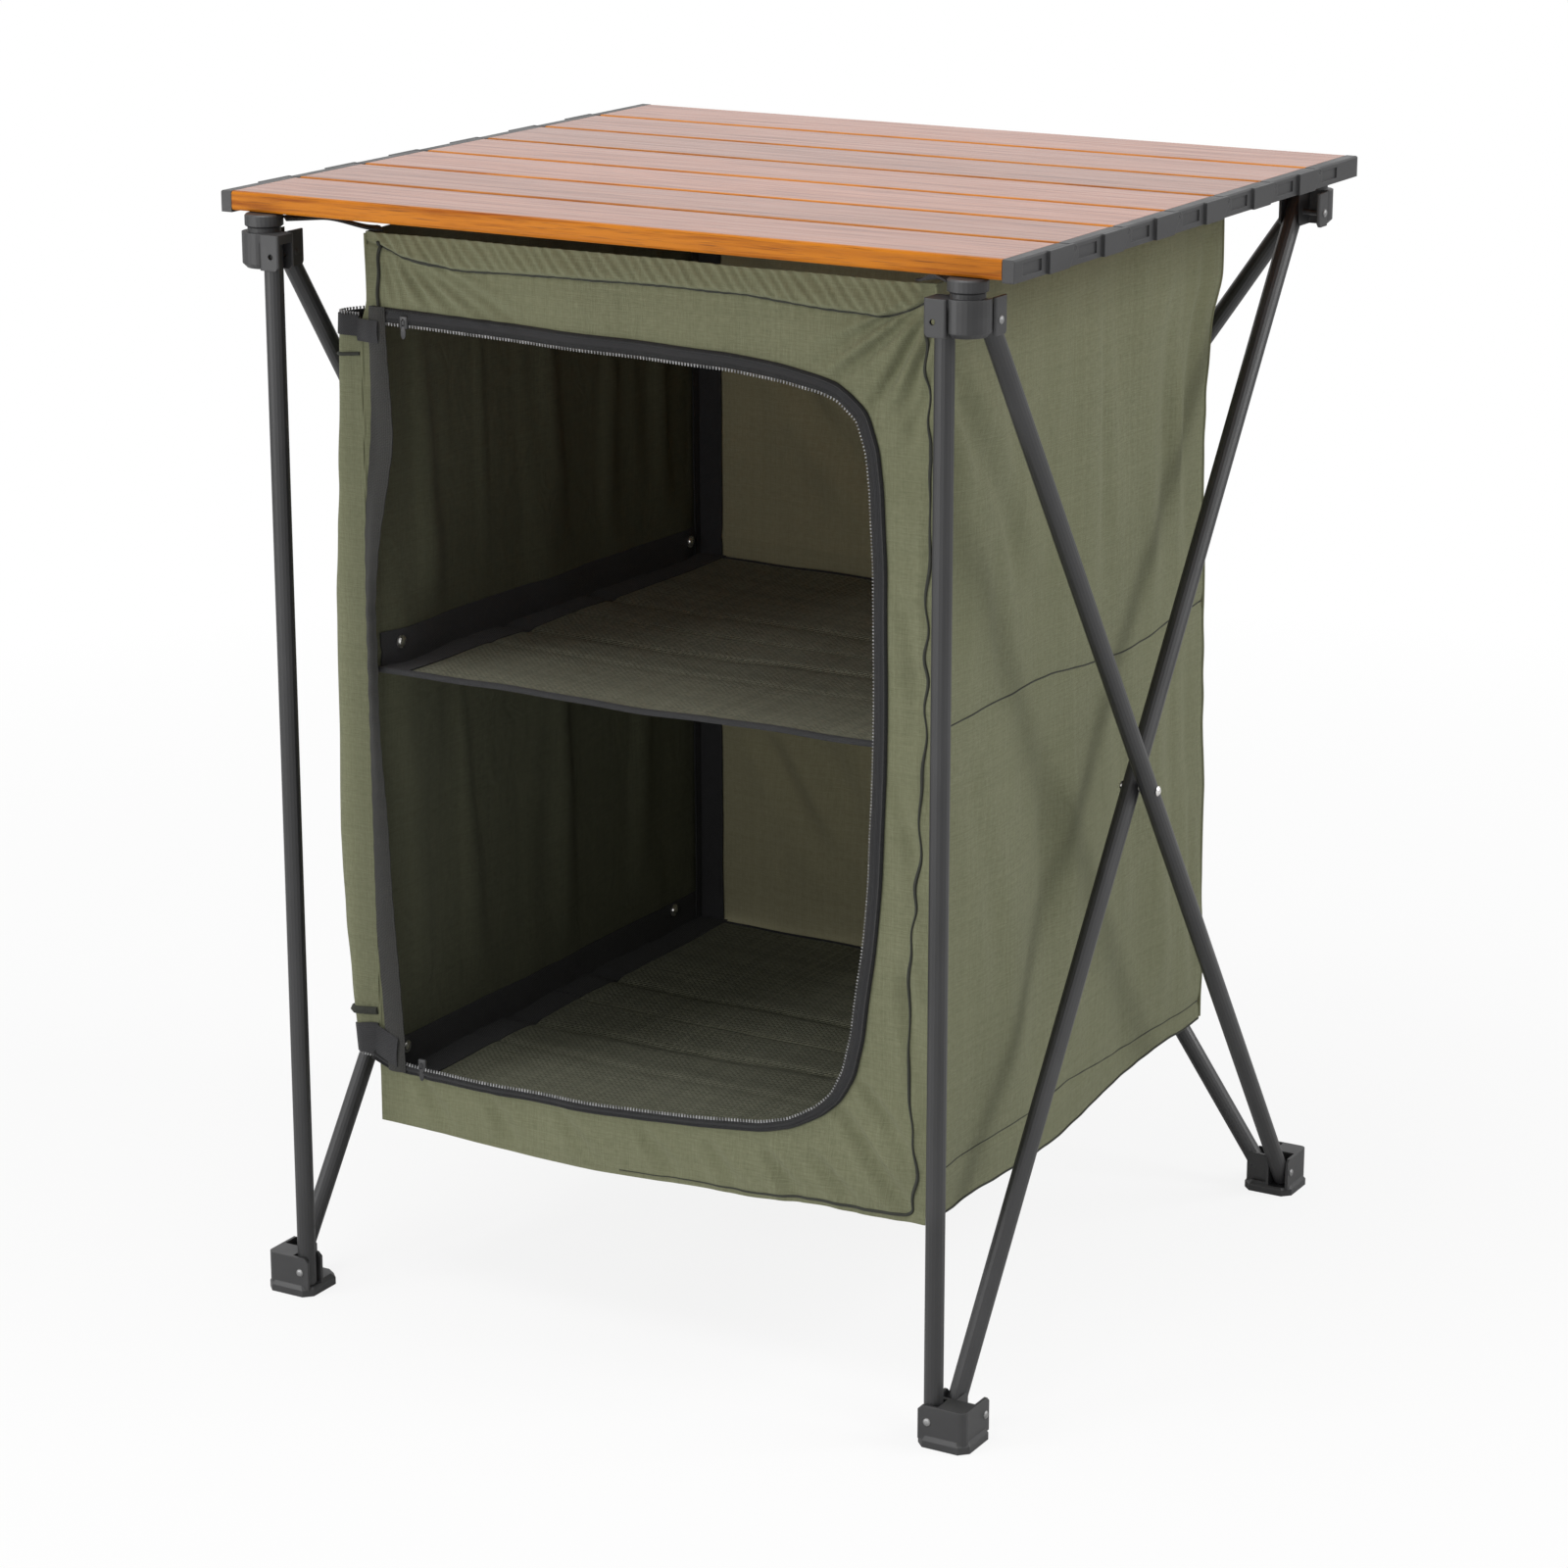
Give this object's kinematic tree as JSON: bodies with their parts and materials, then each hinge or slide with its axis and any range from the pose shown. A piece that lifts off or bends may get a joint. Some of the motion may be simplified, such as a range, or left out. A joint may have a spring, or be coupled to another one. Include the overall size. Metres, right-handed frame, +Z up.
{
  "type": "folding camping cupboard",
  "caption": "Folding camping cupboard: roll-up slatted wood top on a folding steel scissor frame, with a zipped cloth body, shelf and floor.",
  "frame": {"origin": "on the ground, under the middle of the four feet", "axes": "+Z up, +X to the cupboard's right as it is seen from its front, -Y out of the front (the door side)"},
  "size_m": [0.6, 0.5654, 0.785],
  "materials": {
    "slat_wood": "oiled, satin",
    "moulding": "dark grey, matt",
    "frame_tube": "dark powder coat",
    "rod": "bright",
    "rivet": "bright",
    "cloth": "olive woven cloth",
    "shelf_cloth": "olive coated cloth over a board",
    "webbing": "black woven tape"
  },
  "bodies": {
    "foot_back_right": {"foot_back_right": "moulding"},
    "right_bar_outer": {"right_bar_outer": "frame_tube", "right_crossing_rivet": "rivet"},
    "hub_front_right": {"hub_front_right": "moulding", "post_rod_right": "rod", "strap_front_right": "webbing", "front_panel": "cloth", "right_panel": "cloth", "zip_tape": "webbing"},
    "right_bar_inner": {"right_bar_inner": "frame_tube"},
    "hub_back_right": {"hub_back_right": "moulding", "strap_back_right": "webbing", "back_panel": "cloth"},
    "foot_front_right": {"foot_front_right": "moulding", "post_tube_right": "frame_tube"},
    "back_bar_inner": {"back_bar_inner": "frame_tube", "back_crossing_rivet": "rivet"},
    "hub_back_left": {"hub_back_left": "moulding", "strap_back_left": "webbing"},
    "back_bar_outer": {"back_bar_outer": "frame_tube"},
    "foot_back_left": {"foot_back_left": "moulding"},
    "left_bar_inner": {"left_bar_inner": "frame_tube", "left_crossing_rivet": "rivet"},
    "hub_front_left": {"hub_front_left": "moulding", "post_rod_left": "rod", "strap_front_left": "webbing", "left_panel": "cloth"},
    "left_bar_outer": {"left_bar_outer": "frame_tube"},
    "foot_front_left": {"foot_front_left": "moulding", "post_tube_left": "frame_tube"},
    "shelf_rear": {"shelf_rear": "shelf_cloth"},
    "shelf_front": {"shelf_front": "shelf_cloth"},
    "floor_rear": {"floor_rear": "shelf_cloth"},
    "floor_front": {"floor_front": "shelf_cloth"},
    "door": {"door_panel": "cloth"},
    "zip_slider_top": {"zip_slider_top": "moulding"},
    "zip_slider_bottom": {"zip_slider_bottom": "moulding"},
    "slat_1": {"slat_1": "slat_wood", "cap_1_left": "moulding", "cap_1_right": "moulding"},
    "slat_2": {"slat_2": "slat_wood", "cap_2_left": "moulding", "cap_2_right": "moulding"},
    "slat_3": {"slat_3": "slat_wood", "cap_3_left": "moulding", "cap_3_right": "moulding"},
    "slat_4": {"slat_4": "slat_wood", "cap_4_left": "moulding", "cap_4_right": "moulding"},
    "slat_5": {"slat_5": "slat_wood", "cap_5_left": "moulding", "cap_5_right": "moulding"},
    "slat_6": {"slat_6": "slat_wood", "cap_6_left": "moulding", "cap_6_right": "moulding"},
    "slat_7": {"slat_7": "slat_wood", "cap_7_left": "moulding", "cap_7_right": "moulding"}
  },
  "joints": [
    {"name": "fold", "type": "hinge", "parent": "foot_back_right", "child": "right_bar_outer", "pos_m": [0.2719, 0.2515, 0.0177], "axis": [-1, 0, 0], "range_deg": [0, 27], "deforming": ["front_panel", "right_panel", "left_panel", "back_panel", "zip_tape", "shelf_rear", "shelf_front", "floor_rear", "floor_front", "strap_front_right", "strap_front_left", "strap_back_right", "strap_back_left"]},
    {"name": "fold_right_crossing", "type": "hinge", "parent": "right_bar_outer", "child": "right_bar_inner", "pos_m": [0.265, 0, 0.38145], "axis": [1, 0, 0], "range_deg": [0, 54]},
    {"name": "fold_hub_front_right", "type": "hinge", "parent": "right_bar_outer", "child": "hub_front_right", "pos_m": [0.2719, -0.2515, 0.7452], "axis": [1, 0, 0], "range_deg": [0, 27]},
    {"name": "fold_hub_back_right", "type": "hinge", "parent": "right_bar_inner", "child": "hub_back_right", "pos_m": [0.2581, 0.2515, 0.7452], "axis": [-1, 0, 0], "range_deg": [0, 27]},
    {"name": "fold_foot_front_right", "type": "hinge", "parent": "right_bar_inner", "child": "foot_front_right", "pos_m": [0.2581, -0.2515, 0.0177], "axis": [-1, 0, 0], "range_deg": [0, 27]},
    {"name": "fold_back_inner", "type": "hinge", "parent": "foot_back_right", "child": "back_bar_inner", "pos_m": [0.2515, 0.2581, 0.0177], "axis": [0, 1, 0], "range_deg": [0, 27]},
    {"name": "fold_back_crossing", "type": "hinge", "parent": "back_bar_inner", "child": "back_bar_outer", "pos_m": [0, 0.265, 0.38145], "axis": [0, -1, 0], "range_deg": [0, 54]},
    {"name": "fold_hub_back_left", "type": "hinge", "parent": "back_bar_inner", "child": "hub_back_left", "pos_m": [-0.2515, 0.2581, 0.7452], "axis": [0, -1, 0], "range_deg": [0, 27]},
    {"name": "fold_foot_back_left", "type": "hinge", "parent": "back_bar_outer", "child": "foot_back_left", "pos_m": [-0.2515, 0.2719, 0.0177], "axis": [0, 1, 0], "range_deg": [0, 27]},
    {"name": "fold_left_inner", "type": "hinge", "parent": "foot_back_left", "child": "left_bar_inner", "pos_m": [-0.2581, 0.2515, 0.0177], "axis": [-1, 0, 0], "range_deg": [0, 27]},
    {"name": "fold_hub_front_left", "type": "hinge", "parent": "left_bar_inner", "child": "hub_front_left", "pos_m": [-0.2581, -0.2515, 0.7452], "axis": [1, 0, 0], "range_deg": [0, 27]},
    {"name": "fold_left_crossing", "type": "hinge", "parent": "left_bar_inner", "child": "left_bar_outer", "pos_m": [-0.265, 0, 0.38145], "axis": [1, 0, 0], "range_deg": [0, 54]},
    {"name": "fold_foot_front_left", "type": "hinge", "parent": "left_bar_outer", "child": "foot_front_left", "pos_m": [-0.2719, -0.2515, 0.0177], "axis": [-1, 0, 0], "range_deg": [0, 27]},
    {"name": "shelf_rear_seam", "type": "hinge", "parent": "hub_back_right", "child": "shelf_rear", "pos_m": [0, 0.2174, 0.455], "axis": [-1, 0, 0], "range_deg": [0, 83]},
    {"name": "shelf_crease", "type": "hinge", "parent": "shelf_rear", "child": "shelf_front", "pos_m": [0, 0, 0.455], "axis": [1, 0, 0], "range_deg": [0, 166]},
    {"name": "floor_rear_seam", "type": "hinge", "parent": "hub_back_right", "child": "floor_rear", "pos_m": [0, 0.2174, 0.152], "axis": [-1, 0, 0], "range_deg": [0, 83]},
    {"name": "floor_crease", "type": "hinge", "parent": "floor_rear", "child": "floor_front", "pos_m": [0, 0, 0.152], "axis": [1, 0, 0], "range_deg": [0, 166]},
    {"name": "top_lift", "type": "slide", "parent": "hub_back_right", "child": "slat_7", "axis": [0, 0, 1], "range_m": [0, 0.2]},
    {"name": "top_roll", "type": "hinge", "parent": "slat_7", "child": "slat_6", "pos_m": [0, 0.19545, 0.782], "axis": [-1, 0, 0], "range_deg": [0, 48]},
    {"name": "top_roll_5", "type": "hinge", "parent": "slat_6", "child": "slat_5", "pos_m": [0, 0.11855, 0.782], "axis": [-1, 0, 0], "range_deg": [0, 48]},
    {"name": "top_roll_4", "type": "hinge", "parent": "slat_5", "child": "slat_4", "pos_m": [0, 0.04165, 0.782], "axis": [-1, 0, 0], "range_deg": [0, 48]},
    {"name": "top_roll_3", "type": "hinge", "parent": "slat_4", "child": "slat_3", "pos_m": [0, -0.03525, 0.782], "axis": [-1, 0, 0], "range_deg": [0, 48]},
    {"name": "top_roll_2", "type": "hinge", "parent": "slat_3", "child": "slat_2", "pos_m": [0, -0.11215, 0.782], "axis": [-1, 0, 0], "range_deg": [0, 48]},
    {"name": "top_roll_1", "type": "hinge", "parent": "slat_2", "child": "slat_1", "pos_m": [0, -0.18905, 0.782], "axis": [-1, 0, 0], "range_deg": [0, 48]},
    {"name": "door_swing", "type": "hinge", "parent": "hub_front_left", "child": "door", "pos_m": [-0.2218, -0.2197, 0.4345], "axis": [0, 0, 1], "range_deg": [0, 270], "deforming": ["door_panel"]},
    {"name": "zip_top", "type": "slide", "parent": "hub_front_left", "child": "zip_slider_top", "axis": [1, 0, 0], "range_m": [0, 0.28]},
    {"name": "zip_bottom", "type": "slide", "parent": "hub_front_left", "child": "zip_slider_bottom", "axis": [1, 0, 0], "range_m": [0, 0.28]}
  ],
  "couplings": [
    {"joint": "fold_right_crossing", "follows": "fold", "ratio": 2},
    {"joint": "fold_hub_front_right", "follows": "fold", "ratio": 1},
    {"joint": "fold_hub_back_right", "follows": "fold", "ratio": 1},
    {"joint": "fold_foot_front_right", "follows": "fold", "ratio": 1},
    {"joint": "fold_back_inner", "follows": "fold", "ratio": 1},
    {"joint": "fold_back_crossing", "follows": "fold", "ratio": 2},
    {"joint": "fold_hub_back_left", "follows": "fold", "ratio": 1},
    {"joint": "fold_foot_back_left", "follows": "fold", "ratio": 1},
    {"joint": "fold_left_inner", "follows": "fold", "ratio": 1},
    {"joint": "fold_hub_front_left", "follows": "fold", "ratio": 1},
    {"joint": "fold_left_crossing", "follows": "fold", "ratio": 2},
    {"joint": "fold_foot_front_left", "follows": "fold", "ratio": 1},
    {"joint": "shelf_rear_seam", "follows": "fold", "ratio": 3.07},
    {"joint": "shelf_crease", "follows": "fold", "ratio": 6.14},
    {"joint": "floor_rear_seam", "follows": "fold", "ratio": 3.07},
    {"joint": "floor_crease", "follows": "fold", "ratio": 6.14},
    {"joint": "top_roll_5", "follows": "top_roll", "ratio": 1},
    {"joint": "top_roll_4", "follows": "top_roll", "ratio": 1},
    {"joint": "top_roll_3", "follows": "top_roll", "ratio": 1},
    {"joint": "top_roll_2", "follows": "top_roll", "ratio": 1},
    {"joint": "top_roll_1", "follows": "top_roll", "ratio": 1}
  ]
}
